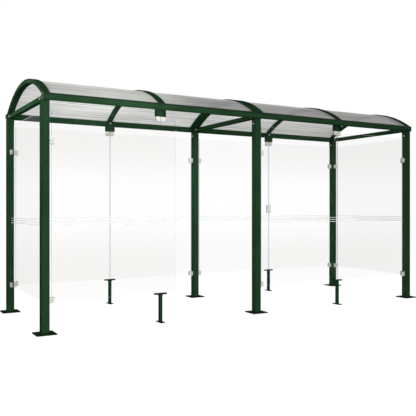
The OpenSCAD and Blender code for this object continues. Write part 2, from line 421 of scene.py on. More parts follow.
class MaterialMaker(NodeMaker):
    """Builds one material around a Principled shader."""

    MIX_INPUTS = (0, 6, 7)
    MIX_RESULT = 2

    def __init__(self, name: str) -> None:
        """Starts a material with its shader and output.

        Args:
            name: Name of the material.
        """
        self.material = bpy.data.materials.new(name)
        self.material.use_nodes = True
        super().__init__(self.material.node_tree)
        self.tree.nodes.clear()
        self.output = self.node("OutputMaterial")
        self.shader = self.node("BsdfPrincipled")
        self.fill(self.output, Surface=self.shader.outputs["BSDF"])

    def shade(self, **sources: Source) -> None:
        """Feeds the shader's own sockets, with underscores for spaces in their names."""
        self.fill(self.shader, **sources)

    def group(self, tree: bpy.types.NodeTree, **values: float) -> bpy.types.Node:
        """Places a shared effect with its own values."""
        return self.fill(self.node("Group", node_tree=tree), **values)

    def mix(self, mask: Source, first: Source, second: Source) -> Socket:
        """Mixes two colours by a mask.

        Args:
            mask: Share of the second colour.
            first: Colour where the mask is 0.
            second: Colour where the mask is 1.

        Returns:
            The mixed colour.
        """
        made = self.node("Mix", data_type="RGBA")
        for index, source in zip(self.MIX_INPUTS, (mask, first, second)):
            self.feed(made.inputs[index], source)
        return made.outputs[self.MIX_RESULT]

    def bump(self, height: Socket, strength: float, depth: float, normal: Socket | None = None) -> Socket:
        """Adds a bump.

        Args:
            height: Height over the surface.
            strength: Strength of the bump.
            depth: Depth of the bump.
            normal: Normal to start from, if any.

        Returns:
            The bumped normal.
        """
        made = self.fill(self.node("Bump"), Strength=strength, Distance=depth, Height=height)
        if normal is not None:
            self.feed(made.inputs["Normal"], normal)
        return made.outputs["Normal"]

    def upward(self) -> Socket:
        """Mask that is 1 on faces turned up and 0 on faces turned down."""
        return self.step(self.split(self.flat_normal())[Z], low=-0.1, high=0.1)

    def facing(self, axis: int) -> Socket:
        """Mask that is 1 on faces square to an axis and 0 on the others."""
        square = self.math("ABSOLUTE", self.split(self.flat_normal())[axis])
        return self.step(square, low=0.4, high=0.6)


@dataclass(frozen=True)
class CoatedFinish:
    """Powder coat, metal, plastic or rubber: one colour with grain, grime and toned edges; on the powder
    coat the dark tone on upward faces is painted shade.
    """

    name: str
    colour: Colour
    deep_colour: Colour
    edge_colour: Colour
    dirt_and_shade_colour: Colour = linear(150, 148, 138)
    roughness: Span = (0.36, 0.48)
    specular: float = 0.2
    metallic: float = 0.0
    grain_scale: float = 420.0
    grain_strength: float = 0.12
    grain_depth: float = 0.3 * MM
    edge_radius: float = 2.0 * MM
    dirt_and_shade: float = 0.35
    splash_reach: float = 0.3
    alpha: float = 1.0

    def build(self, effects: Effects) -> bpy.types.Material:
        """Makes the material.

        Args:
            effects: The shared node groups.

        Returns:
            The material.
        """
        maker = MaterialMaker(self.name)
        grain = maker.group(effects.coat_grain, Fine_Scale=self.grain_scale).outputs
        edges = maker.group(effects.edge_tone, Radius=self.edge_radius).outputs
        dirt_and_shade = maker.group(effects.dirt_and_shade_group, Amount=self.dirt_and_shade, Splash_Reach=self.splash_reach).outputs
        body = maker.mix(grain["Tone"], self.deep_colour, self.colour)
        # Edge tone: worn lighter edges on the light finishes, painted shade on the powder coat.
        edged = maker.mix(edges["Mask"], body, self.edge_colour)
        maker.shade(
            # Grime tone: on the powder coat it is painted shade on upward faces.
            Base_Color=maker.mix(dirt_and_shade["Mask"], edged, self.dirt_and_shade_colour),
            Roughness=maker.scaled(grain["Tone"], *self.roughness),
            Normal=maker.bump(grain["Height"], self.grain_strength, self.grain_depth, edges["Normal"]),
            Specular_IOR_Level=self.specular,
            Metallic=self.metallic,
            Alpha=self.alpha,
        )
        return maker.material


@dataclass(frozen=True)
class SheetFinish:
    """Hollow-wall roof sheet with ribs and streaks lengthwise, and painted light and shade: a pale inside
    that glows as if lit through the sheet, a darker grey outside, both darker towards the right end, and a
    paler crown inside.
    """

    name: str = "hollow_wall_sheet"
    # The grey outside and the pale inside: painted shade and painted light through the sheet.
    outer: Colour = linear(205, 206, 202)
    outer_streak: Colour = linear(168, 169, 166)
    # Outside colours towards the right end: painted shade.
    outer_far: Colour = linear(164, 165, 161)
    outer_far_streak: Colour = linear(122, 123, 120)
    inner: Colour = linear(212, 213, 211)
    # Paler inside colour at the crown: painted light.
    inner_crown: Colour = linear(246, 247, 245)
    inner_streak: Colour = linear(136, 137, 136)
    # Inside colour towards the right end: painted shade.
    inner_far: Colour = linear(192, 193, 190)
    inner_shade: Colour = linear(96, 97, 96)
    inner_shading: float = 0.4
    # Where the painted shade towards the right end sets in, outside and inside, along X.
    outer_fade: Span = (-1.25, -0.7)
    inner_fade: Span = (-0.2, 1.8)
    # Height where the painted light at the crown sets in.
    crown_fade: Span = (2.4, 2.6)
    streak_along: float = 1.1
    streak_across: float = 75.0
    faint: Span = (0.0, 0.35)
    roughness: Span = (0.24, 0.4)
    specular: float = 0.06
    rib_pitch: float = 42 * MM
    rib_strength: float = 0.25
    rib_depth: float = 0.6 * MM
    cover: float = 0.72
    # Glow of the inside: painted light through the sheet, though it is no lamp.
    lit_through: float = 0.6

    def build(self, effects: Effects, curve: "RoofCurve") -> bpy.types.Material:
        """Makes the material.

        Args:
            effects: The shared node groups.
            curve: Circle of the roof.

        Returns:
            The material.
        """
        maker = MaterialMaker(self.name)
        streak = maker.group(
            effects.lengthwise_streaks, Along_Scale=self.streak_along, Across_Scale=self.streak_across
        ).outputs["Mask"]
        rib = maker.group(
            effects.sheet_ribs, Pitch=self.rib_pitch, Radius=curve.outer, Centre_Z=curve.centre_z
        ).outputs["Mask"]
        along, _, height = maker.split(maker.place())
        near = maker.mix(streak, self.outer, self.outer_streak)
        far = maker.mix(streak, self.outer_far, self.outer_far_streak)
        # Painted shade: the outside darkens towards the right end.
        outside = maker.mix(maker.step(along, *self.outer_fade), near, far)
        outside = maker.mix(maker.scaled(rib, *self.faint), outside, self.outer_far_streak)
        # Painted shade: the inside darkens towards the right end.
        inside = maker.mix(maker.step(along, *self.inner_fade), self.inner, self.inner_far)
        # Painted light: the inside turns paler at the crown.
        inside = maker.mix(maker.step(height, *self.crown_fade), inside, self.inner_crown)
        inside = maker.mix(maker.scaled(streak, *self.faint), inside, self.inner_streak)
        inside = maker.mix(rib, inside, self.inner_streak)
        shaded = maker.mix(self.inner_shading, inside, self.inner_shade)
        # Pale, glowing inside and grey outside: painted light through the sheet.
        upward = maker.upward()
        maker.shade(
            Base_Color=maker.mix(upward, shaded, outside),
            Emission_Color=maker.mix(upward, inside, BLACK),
            Roughness=maker.scaled(streak, *self.roughness),
            Normal=maker.bump(rib, self.rib_strength, self.rib_depth),
            Specular_IOR_Level=self.specular,
            Alpha=self.cover,
            Emission_Strength=self.lit_through,
        )
        return maker.material


@dataclass(frozen=True)
class GlassFinish:
    """Clear toughened glass, a little greyer towards the top and bottom of a pane, with darker polished
    edges.
    """

    name: str
    across: int
    clear: Colour = (0.995, 0.995, 0.994, 1.0)
    greyed: Colour = (0.948, 0.948, 0.942, 1.0)
    edge: Colour = (0.1, 0.12, 0.115, 1.0)
    edge_inside: Colour = (0.9, 0.91, 0.905, 1.0)
    edge_top: Colour = (0.08, 0.2, 0.13, 1.0)
    rim_tint: Colour = (0.8, 0.82, 0.81, 1.0)
    shadow_tint: Colour = (0.93, 0.94, 0.935, 1.0)
    rim: Span = (0.0005, 0.0032)
    middle_z: float = 1.28
    grey_fade: Span = (0.15, 0.75)
    haze_scale: float = 1.2
    roughness: Span = (0.0, 0.02)
    index: float = 1.08

    def build(self, effects: Effects) -> bpy.types.Material:
        """Makes the material, which lets light through to what stands behind it.

        Args:
            effects: The shared node groups.

        Returns:
            The material.
        """
        maker = MaterialMaker(self.name)
        haze = maker.group(effects.coat_grain, Broad_Scale=self.haze_scale).outputs["Tone"]
        pane = maker.mix(self.grey_mask(maker), self.clear, self.greyed)
        pane = maker.mix(self.rim_mask(maker), pane, self.rim_tint)
        within = maker.node("NewGeometry").outputs["Backfacing"]
        edge = maker.mix(within, self.edge, self.edge_inside)
        edge = maker.mix(maker.facing(Z), edge, self.edge_top)
        maker.shade(
            Base_Color=maker.mix(maker.facing(self.across), edge, pane),
            Roughness=maker.scaled(haze, *self.roughness),
            Transmission_Weight=1.0,
            IOR=self.index,
        )
        clear = maker.fill(maker.node("BsdfTransparent"), Color=self.shadow_tint)
        mixed = maker.node("MixShader")
        shadow = maker.node("LightPath").outputs["Is Shadow Ray"]
        for socket, source in zip(mixed.inputs, (shadow, maker.shader.outputs[0], clear.outputs[0])):
            maker.feed(socket, source)
        maker.fill(maker.output, Surface=mixed.outputs[0])
        return maker.material

    def rim_mask(self, maker: MaterialMaker) -> Socket:
        """Mask along a pane's upright edges.

        Args:
            maker: The material that it goes into.

        Returns:
            The mask.
        """
        share = maker.split(maker.node("TexCoord").outputs["Generated"])[1 - self.across]
        middle = 0.5
        outward = maker.math("ABSOLUTE", maker.math("SUBTRACT", share, middle))
        return maker.step(outward, low=middle - self.rim[1], high=middle - self.rim[0])

    def grey_mask(self, maker: MaterialMaker) -> Socket:
        """Mask of the greyer tone, which fades out at the middle of a pane's height."""
        above = maker.math("SUBTRACT", maker.split(maker.place())[Z], self.middle_z)
        return maker.step(maker.math("ABSOLUTE", above), *self.grey_fade)


FINISHES: dict[str, CoatedFinish | GlassFinish] = {
    "paint": CoatedFinish(
        "green_powder_coat",
        colour=linear(34, 62, 39),
        deep_colour=linear(29, 55, 34),
        # Darker edges, 9 mm wide: painted shade of the rounded corners.
        edge_colour=linear(14, 30, 17),
        # Dark green on upward faces, at full amount: painted shade.
        dirt_and_shade_colour=linear(9, 30, 12),
        roughness=(0.34, 0.44),
        specular=0.0,
        edge_radius=9 * MM,
        dirt_and_shade=1.0,
        splash_reach=0.02,
    ),
    "clamp": CoatedFinish(
        "satin_clamp_alloy",
        colour=linear(216, 216, 212),
        deep_colour=linear(202, 202, 198),
        edge_colour=linear(238, 238, 235),
        roughness=(0.32, 0.44),
        specular=0.5,
        metallic=0.1,
        grain_scale=900.0,
        grain_strength=0.06,
        edge_radius=1.2 * MM,
        dirt_and_shade=0.12,
    ),
    "steel": CoatedFinish(
        "zinc_plated_steel",
        colour=linear(205, 205, 200),
        deep_colour=linear(184, 185, 182),
        edge_colour=linear(232, 232, 230),
        roughness=(0.28, 0.42),
        specular=0.5,
        metallic=0.85,
        grain_scale=1500.0,
        grain_strength=0.05,
        edge_radius=0.8 * MM,
        dirt_and_shade=0.1,
    ),
    "cap": CoatedFinish(
        "moulded_cap_plastic",
        colour=linear(30, 52, 35),
        deep_colour=linear(25, 45, 30),
        edge_colour=linear(60, 84, 64),
        roughness=(0.22, 0.32),
        specular=0.35,
        grain_scale=700.0,
        grain_strength=0.15,
        dirt_and_shade=0.05,
    ),
    "rubber": CoatedFinish(
        "seal_rubber",
        colour=linear(16, 30, 18),
        deep_colour=linear(12, 24, 14),
        edge_colour=linear(36, 46, 38),
        roughness=(0.6, 0.8),
        grain_scale=1200.0,
        grain_strength=0.2,
        edge_radius=0.5 * MM,
        dirt_and_shade=0.2,
    ),
    "film": CoatedFinish(
        "frosted_film",
        colour=linear(244, 245, 244),
        deep_colour=linear(238, 239, 238),
        edge_colour=linear(248, 248, 248),
        roughness=(0.6, 0.75),
        specular=0.1,
        grain_scale=2500.0,
        grain_strength=0.05,
        edge_radius=0.1 * MM,
        dirt_and_shade=0.05,
        alpha=0.8,
    ),
    "wall_glass": GlassFinish("clear_wall_glass", Y),
    "seam_glass": GlassFinish(
        "clear_seam_glass", Y, rim_tint=(0.6, 0.62, 0.61, 1.0), rim=(0.0005, 0.0075)
    ),
    "end_glass": GlassFinish(
        "clear_end_glass",
        X,
        clear=(0.93, 0.93, 0.925, 1.0),
        greyed=(0.905, 0.905, 0.899, 1.0),
        index=1.03,
    ),
}


@dataclass(frozen=True)
class Palette:
    """The materials of the shelter."""

    paint: bpy.types.Material
    sheet: bpy.types.Material
    wall_glass: bpy.types.Material
    seam_glass: bpy.types.Material
    end_glass: bpy.types.Material
    clamp: bpy.types.Material
    steel: bpy.types.Material
    cap: bpy.types.Material
    rubber: bpy.types.Material
    film: bpy.types.Material

    @classmethod
    def make(cls, curve: "RoofCurve") -> "Palette":
        """Builds the shared effects and every material.

        Args:
            curve: Circle of the roof.

        Returns:
            The materials.
        """
        effects = Effects()
        made = {name: finish.build(effects) for name, finish in FINISHES.items()}
        return cls(sheet=SheetFinish().build(effects, curve), **made)


class MeshBuilder:
    """Collects shapes into one mesh."""

    def __init__(self) -> None:
        """Starts an empty mesh."""
        self.mesh = bmesh.new()

    def skin(self, rings: list[list[Vector]], closed: bool = False) -> None:
        """Joins neighbouring rings with faces, and caps both ends unless the rings close.

        Args:
            rings: Rings with as many corners each.
            closed: Whether the last ring joins the first.
        """
        made = [[self.mesh.verts.new(corner) for corner in ring] for ring in rings]
        after = made[1:] + made[:1] if closed else made[1:]
        for lower, upper in zip(made, after):
            for side in range(len(lower)):
                turn = (side + 1) % len(lower)
                self.mesh.faces.new((lower[side], lower[turn], upper[turn], upper[side]))
        if not closed:
            self.mesh.faces.new(list(reversed(made[0])))
            self.mesh.faces.new(made[-1])

    def turned(self, profile: Profile, sides: int, at: Vector, axis: Vector, spin: float = 0.0) -> None:
        """Turns a profile about an axis.

        Args:
            profile: Radius and height of each ring, from the seat upwards.
            sides: Number of sides, 6 for a hexagon.
            at: Seat of the shape.
            axis: Direction that the height runs in.
            spin: Turn about the axis, in radians.
        """
        frame = Matrix.Translation(at) @ axis.to_track_quat("Z", "Y").to_matrix().to_4x4()
        angles = [spin + 2 * math.pi * step / sides for step in range(sides)]
        rings = []
        for radius, height in profile:
            spots = [Vector((radius * math.cos(a), radius * math.sin(a), height)) for a in angles]
            rings.append([frame @ spot for spot in spots])
        self.skin(rings)

    def arc_band(self, along: Span, radii: Span, curve: "RoofCurve", steps: int = 96) -> None:
        """Closed band that follows the roof between two radii.

        Args:
            along: Extent along the shelter.
            radii: Inner and outer radius.
            curve: The roof's curve.
            steps: Number of steps along the curve.
        """
        (x0, x1), (r0, r1) = along, radii
        corners = ((x0, r0), (x1, r0), (x1, r1), (x0, r1))
        shares = [2 * step / steps - 1 for step in range(steps + 1)]
        self.skin([[curve.point(x, radius, share) for x, radius in corners] for share in shares])

    def slab(self, low: Vector, high: Vector, edge: float) -> None:
        """Block with bevelled edges.

        Args:
            low: Lowest corner.
            high: Highest corner.
            edge: Width of the bevel.
        """
        part = bmesh.new()
        bmesh.ops.create_cube(part, size=1.0)
        bmesh.ops.scale(part, vec=high - low, verts=part.verts)
        bmesh.ops.translate(part, vec=(low + high) / 2, verts=part.verts)
        bmesh.ops.bevel(part, geom=part.edges, offset=edge, segments=2, affect="EDGES", profile=0.5)
        copied = {v: self.mesh.verts.new(v.co) for v in part.verts}
        for face in part.faces:
            self.mesh.faces.new([copied[v] for v in face.verts])
        part.free()

    def face_strip(
        self, face: float, axis: int, thick: float, level: Span, upright: Span, edge: float
    ) -> None:
        """Thin bevelled strip on an upright face.

        Args:
            face: Place of the face along its axis.
            axis: Axis that the face looks along, X or Y.
            thick: Thickness, negative on a face that looks towards the axis's lower end.
            level: Extent along the other level axis.
            upright: Extent in height.
            edge: Width of the bevel.
        """
        low = Vector((0, 0, upright[0]))
        high = Vector((0, 0, upright[1]))
        low[1 - axis], high[1 - axis] = level
        low[axis], high[axis] = sorted((face, face + thick))
        self.slab(low, high, edge)

    def finish(self, name: str, material: bpy.types.Material, slot: Slot, smooth_deg: float = 35.0) -> None:
        """Turns what was collected into a piece that rides on the shelter.

        Args:
            name: Name of the piece.
            material: Its finish.
            slot: The record's slot that the finish belongs to; not used.
            smooth_deg: Edges flatter than this are shaded smooth.
        """
        bmesh.ops.recalc_face_normals(self.mesh, faces=self.mesh.faces)
        data = bpy.data.meshes.new(name)
        self.mesh.to_mesh(data)
        self.mesh.free()
        data.polygons.foreach_set("use_smooth", [True] * len(data.polygons))
        data.set_sharp_from_angle(angle=math.radians(smooth_deg))
        data.materials.append(material)
        piece = bpy.data.objects.new(name, data)
        bpy.context.scene.collection.objects.link(piece)
        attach(piece, BODY)
        LOG.info("%s: %d faces", name, len(data.polygons))


@dataclass(frozen=True)
class HexBolt:
    """Hexagon head on a round washer."""

    corner_r: float = 8 * MM
    seat_r: float = 7.6 * MM
    crown_r: float = 6.88 * MM
    head_h: float = 6.5 * MM
    seat_h: float = 0.39 * MM
    shoulder_h: float = 5.2 * MM
    top_shares: Span = (0.98, 0.7)
    top_h: float = 0.325 * MM
    washer_r: float = 11 * MM
    washer_t: float = 1.98 * MM
    rim_share: float = 0.3
    spin: float = 0.4
    head_sides: int = 6
    top_sides: int = 24
    washer_sides: int = 28

    def add(self, builder: MeshBuilder, at: Vector, axis: Vector) -> None:
        """Adds the bolt to a mesh.

        Args:
            builder: Mesh to add to.
            at: Seat of the washer.
            axis: Outward direction.
        """
        wide, thick = self.washer_r, self.washer_t
        rim = self.rim_share * thick
        washer = [(wide - rim, 0), (wide, rim), (wide, thick - rim), (wide - rim, thick)]
        builder.turned(washer, self.washer_sides, at, axis)
        head = [
            (self.seat_r, 0),
            (self.corner_r, self.seat_h),
            (self.corner_r, self.shoulder_h),
            (self.crown_r, self.head_h),
        ]
        seat = at + axis * thick
        builder.turned(head, self.head_sides, seat, axis, self.spin)
        outer, inner = [share * self.crown_r for share in self.top_shares]
        top = [(outer, 0), (inner, self.top_h)]
        builder.turned(top, self.top_sides, seat + axis * self.head_h, axis)


@dataclass(frozen=True)
class DomeScrew:
    """Low dome head with a round socket."""

    radius: float
    height: float
    dome_angles: tuple[float, ...] = (0.0, 0.35, 0.7, 1.0, 1.2)
    socket_share: float = 0.36
    socket_taper: float = 0.96
    socket_floor: float = 0.35
    sides: int = 24

    def add(self, builder: MeshBuilder, at: Vector, axis: Vector) -> None:
        """Adds the screw to a mesh.

        Args:
            builder: Mesh to add to.
            at: Seat of the head.
            axis: Outward direction.
        """
        dome = [(self.radius * math.cos(t), self.height * math.sin(t)) for t in self.dome_angles]
        socket = self.socket_share * self.radius
        floor = (socket * self.socket_taper, self.socket_floor * self.height)
        builder.turned([*dome, (socket, self.height), floor], self.sides, at, axis)


@dataclass(frozen=True)
class FilletWeld:
    """Rippled fillet weld round the foot of a square tube."""

    leg: float
    corner: float
    corner_steps: int = 4
    ripple_step: float = 3.5 * MM
    ripple: float = 0.12
    throat: float = 0.78
    sunk: float = 0.4 * MM

    def path(self, half_x: float, half_y: float) -> list[tuple[Vector, Vector]]:
        """Points round the tube, each with its outward direction.

        Args:
            half_x: Half width of the tube along X.
            half_y: Half width of the tube along Y.

        Returns:
            The points, close enough for the ripples.
        """
        coarse = []
        for turn, (sx, sy) in enumerate(((1, 1), (-1, 1), (-1, -1), (1, -1))):
            for step in range(self.corner_steps + 1):
                angle = math.pi / 2 * (turn + step / self.corner_steps)
                out = Vector((math.cos(angle), math.sin(angle), 0))
                middle = Vector((sx * (half_x - self.corner), sy * (half_y - self.corner), 0))
                coarse.append((middle + out * self.corner, out))
        dense = []
        for (start, start_out), (end, end_out) in zip(coarse, coarse[1:] + coarse[:1]):
            count = max(1, round((end - start).length / self.ripple_step))
            for step in range(count):
                share = step / count
                dense.append((start.lerp(end, share), start_out.lerp(end_out, share).normalized()))
        return dense

    def add(self, builder: MeshBuilder, centre: Vector, half_x: float, half_y: float) -> None:
        """Adds the weld to a mesh.

        Args:
            builder: Mesh to add to.
            centre: Middle of the tube at the plate's face.
            half_x: Half width of the tube along X.
            half_y: Half width of the tube along Y.
        """
        up = Vector((0, 0, 1))
        rings = []
        for index, (spot, out) in enumerate(self.path(half_x, half_y)):
            swell = self.leg * (1.0 + self.ripple * (index % 2))
            lean = (swell * self.throat) / math.sqrt(2)
            base = centre + spot
            inner = base - out * self.sunk
            rings.append([inner, base + out * swell, base + (out + up) * lean, inner + up * swell])
        builder.skin(rings, closed=True)


@dataclass(frozen=True)
class RoofCurve:
    """Circle that the roof sheets follow, cut level with the beam tops."""

    outer: float
    inner: float
    centre_z: float
    eave_z: float

    @classmethod
    def measure(cls, sheet: str, beam: str) -> "RoofCurve":
        """Works the circle out from a sheet's box.

        Args:
            sheet: Name of a roof sheet node.
            beam: Name of an eave beam node.

        Returns:
            The curve.
        """
        box = node_box(sheet)
        rise = box.size.z
        half = box.size.y / 2
        outer = (half * half + rise * rise) / (2 * rise)
        centre_z = box.high.z - outer
        inner = math.hypot(node_box(beam).low.y, box.low.z - centre_z)
        return cls(outer, inner, centre_z, box.low.z)

    def outward(self, share: float, radius: float) -> Vector:
        """Direction away from the roof's axis, at a share from -1 (front eave) to 1 (rear eave)."""
        angle = share * math.acos((self.eave_z - self.centre_z) / radius)
        return Vector((0, math.sin(angle), math.cos(angle)))

    def point(self, x: float, radius: float, share: float) -> Vector:
        """Point on the roof, at a place along the shelter."""
        return Vector((x, 0, self.centre_z)) + radius * self.outward(share, radius)


@dataclass
class Assembly:
    """CAD nodes, and the materials for them and for what goes on them."""

    nodes: Nodes
    palette: Palette

    def solids(self, *names: str) -> list[Box]:
        """Boxes of the separate solids in the named nodes."""
        return [box for name in names for box in solid_boxes(self.nodes[name])]


@dataclass
class FrameDress(Assembly):
    """Gives every CAD node its finish."""

    endings: tuple[tuple[str, str], ...] = (
        ("_end_pane", "end_glass"),
        ("_inner_pane", "seam_glass"),
        ("_outer_pane", "seam_glass"),
        ("_pane", "wall_glass"),
        ("_roof_sheet", "sheet"),
        ("_clamp", "clamp"),
        ("_clamps", "clamp"),
        ("_caps", "cap"),
    )

    def material_for(self, name: str) -> bpy.types.Material:
        """Finish of a node, from the ending of its name.

        Args:
            name: Name of the node.

        Returns:
            The finish.
        """
        for ending, finish in self.endings:
            if name.endswith(ending):
                return getattr(self.palette, finish)
        return self.palette.paint

    def dress(self) -> None:
        """Assigns the finishes."""
        for name, obj in self.nodes.items():
            material = self.material_for(name)
            for index in range(len(obj.data.materials)):
                obj.data.materials[index] = material
            LOG.info("%s: %s", name, material.name)


@dataclass
class FrameFixings(Assembly):
    """Bolts and welds of the steel frame."""

    bolt: HexBolt = HexBolt()
    post_bolt_drop: float = 57 * MM
    tie_bolt_inset: float = 98 * MM
    hanger_bolt_drop: float = 14 * MM
    post_weld: FilletWeld = FilletWeld(leg=5 * MM, corner=6 * MM)
    column_weld: FilletWeld = FilletWeld(leg=3.5 * MM, corner=3 * MM)
    weld_smooth_deg: float = 60.0
    column_w: float = 35 * MM
    foot_t: float = 8 * MM
    end_post_x: float = 1.0
    posts: tuple[str, ...] = tuple(
        f"{row}_{place}_post" for row in ("front", "rear") for place in ("left", "middle", "right")
    )
    ties: tuple[str, ...] = ("left_tie", "middle_tie", "right_tie")

    def build(self) -> None:
        """Makes the fixings."""
        self.build_post_bolts()
        self.build_tie_bolts()
        self.build_hanger_bolts()
        self.build_welds()

    def build_post_bolts(self) -> None:
        """One bolt near the top of each post face that looks into a bay."""
        builder = MeshBuilder()
        for box in map(node_box, self.posts):
            for side in SIDES:
                if box.centre.x * side > self.end_post_x:
                    continue
                at = Vector((box.face(X, side), box.centre.y, box.high.z - self.post_bolt_drop))
                self.bolt.add(builder, at, unit(X, side))
        builder.finish("post_bolts", self.palette.steel, Slot.METAL)

    def build_tie_bolts(self) -> None:
        """A bolt through each end of a tie."""
        builder = MeshBuilder()
        for box in map(node_box, self.ties):
            for end in SIDES:
                y = end * (box.high.y - self.tie_bolt_inset)
                for side in SIDES:
                    at = Vector((box.face(X, side), y, box.centre.z))
                    self.bolt.add(builder, at, unit(X, side))
        builder.finish("tie_bolts", self.palette.steel, Slot.METAL)

    def build_hanger_bolts(self) -> None:
        """A bolt in the inner face of each hanger, which holds it to the beam."""
        builder = MeshBuilder()
        for box in self.solids("front_hangers", "rear_hangers"):
            inward = -1 if box.centre.y > 0 else 1
            at = Vector((box.centre.x, box.face(Y, inward), box.high.z - self.hanger_bolt_drop))
            self.bolt.add(builder, at, unit(Y, inward))
        builder.finish("hanger_bolts", self.palette.steel, Slot.METAL)

    def build_welds(self) -> None:
        """Fillet welds round the posts and the support columns."""
        builder = MeshBuilder()
        for box in map(node_box, self.posts):
            foot = Vector((box.centre.x, box.centre.y, box.low.z))
            self.post_weld.add(builder, foot, box.size.x / 2, box.size.y / 2)
        for box in self.solids("front_pane_supports", "rear_pane_supports"):
            foot = Vector((box.centre.x, box.centre.y, self.foot_t))
            self.column_weld.add(builder, foot, self.column_w / 2, self.column_w / 2)
        builder.finish("foot_welds", self.palette.paint, Slot.PAINT, self.weld_smooth_deg)


@dataclass
class GlassFittings(Assembly):
    """Screws and gaskets of the glass clamps, and the plain marking lines on the panes."""

    screw: DomeScrew = DomeScrew(radius=7.5 * MM, height=3 * MM)
    grip_screw_drop: float = 0.16
    seam_screw_out: float = 0.27
    seam_screw_up: float = 0.3
    gasket_t: float = 1.2 * MM
    gasket_w: float = 2.5 * MM
    gasket_edge: float = 0.4 * MM
    line_count: int = 3
    line_h: float = 6 * MM
    line_pitch: float = 26 * MM
    line_z: float = 1.056
    line_t: float = 0.25 * MM
    line_edge: float = 0.08 * MM
    line_margin: float = 12 * MM
    clamp_nodes: tuple[str, ...] = ("front_clamps", "rear_clamps", "left_end_clamps", "right_end_clamps")

    def build(self) -> None:
        """Makes the fittings."""
        panes = [node_box(name) for name in sorted(self.nodes) if name.endswith("_pane")]
        clamps = self.solids(*self.clamp_nodes)
        grips = self.solids("hanger_clamps")
        seam = self.solids("rear_seam_clamp")
        self.build_screws(clamps, grips, seam)
        self.build_gaskets(clamps + grips + seam, panes)
        self.build_lines(panes)

    @staticmethod
    def across(box: Box) -> int:
        """Axis across the glass of a clamp or pane."""
        return X if box.size.x < box.size.y else Y

    def build_screws(self, clamps: list[Box], grips: list[Box], seam: list[Box]) -> None:
        """Screw heads on both faces of every clamp.

        Args:
            clamps: Post clamps.
            grips: Clamps under the hangers.
            seam: The plate clamp on the rear seam.
        """
        builder = MeshBuilder()
        places = [(box, box.centre) for box in clamps]
        for box in grips:
            places.append((box, box.centre - Vector((0, 0, self.grip_screw_drop * box.size.z))))
        for box in seam:
            for up in SIDES:
                for side in SIDES:
                    out = side * self.seam_screw_out * box.size.x
                    rise = up * self.seam_screw_up * box.size.z
                    places.append((box, box.centre + Vector((out, 0, rise))))
        for box, middle in places:
            axis = self.across(box)
            for side in SIDES:
                at = middle.copy()
                at[axis] = box.face(axis, side)
                self.screw.add(builder, at, unit(axis, side))
        builder.finish("clamp_screws", self.palette.steel, Slot.METAL)

    def build_gaskets(self, clamps: Iterable[Box], panes: list[Box]) -> None:
        """Rubber lips where the clamps meet the glass.

        Args:
            clamps: Boxes of all clamps.
            panes: Boxes of all panes.
        """
        builder = MeshBuilder()
        for box in clamps:
            for pane in panes:
                low = [max(box.low[i], pane.low[i]) for i in range(3)]
                high = [min(box.high[i], pane.high[i]) for i in range(3)]
                if all(start < end for start, end in zip(low, high)):
                    self.lip(builder, box, pane)
        builder.finish("clamp_gaskets", self.palette.rubber, Slot.METAL)

    def lip(self, builder: MeshBuilder, box: Box, pane: Box) -> None:
        """Lip round the part of a pane that one clamp holds.

        Args:
            builder: Mesh to add to.
            box: The clamp.
            pane: The pane.
        """
        axis = self.across(box)
        along = 1 - axis
        width = self.gasket_w
        start = max(box.low[along], pane.low[along])
        end = min(box.high[along], pane.high[along])
        foot = max(box.low.z, pane.low.z)
        head = min(box.high.z, pane.high.z)
        edges = (
            (box.low[along] > pane.low[along], (start - width, start), (foot, head)),
            (box.high[along] < pane.high[along], (end, end + width), (foot, head)),
            (box.low.z > pane.low.z, (start, end), (foot - width, foot)),
            (box.high.z < pane.high.z, (start, end), (head, head + width)),
        )
        for on_glass, level, upright in edges:
            if not on_glass:
                continue
            for side in SIDES:
                thick = side * self.gasket_t
                builder.face_strip(pane.face(axis, side), axis, thick, level, upright, self.gasket_edge)

    def build_lines(self, panes: list[Box]) -> None:
        """Thin level lines of frosted film, at chest height on the outer face of every pane.

        Args:
            panes: Boxes of all panes.
        """
        builder = MeshBuilder()
        for pane in panes:
            axis = self.across(pane)
            along = 1 - axis
            side = -1 if pane.centre[axis] < 0 else 1
            face = pane.face(axis, side)
            level = (pane.low[along] + self.line_margin, pane.high[along] - self.line_margin)
            for row in range(self.line_count):
                z = self.line_z + row * self.line_pitch
                upright = (z, z + self.line_h)
                builder.face_strip(face, axis, side * self.line_t, level, upright, self.line_edge)
        builder.finish("pane_lines", self.palette.film, Slot.GLASS)


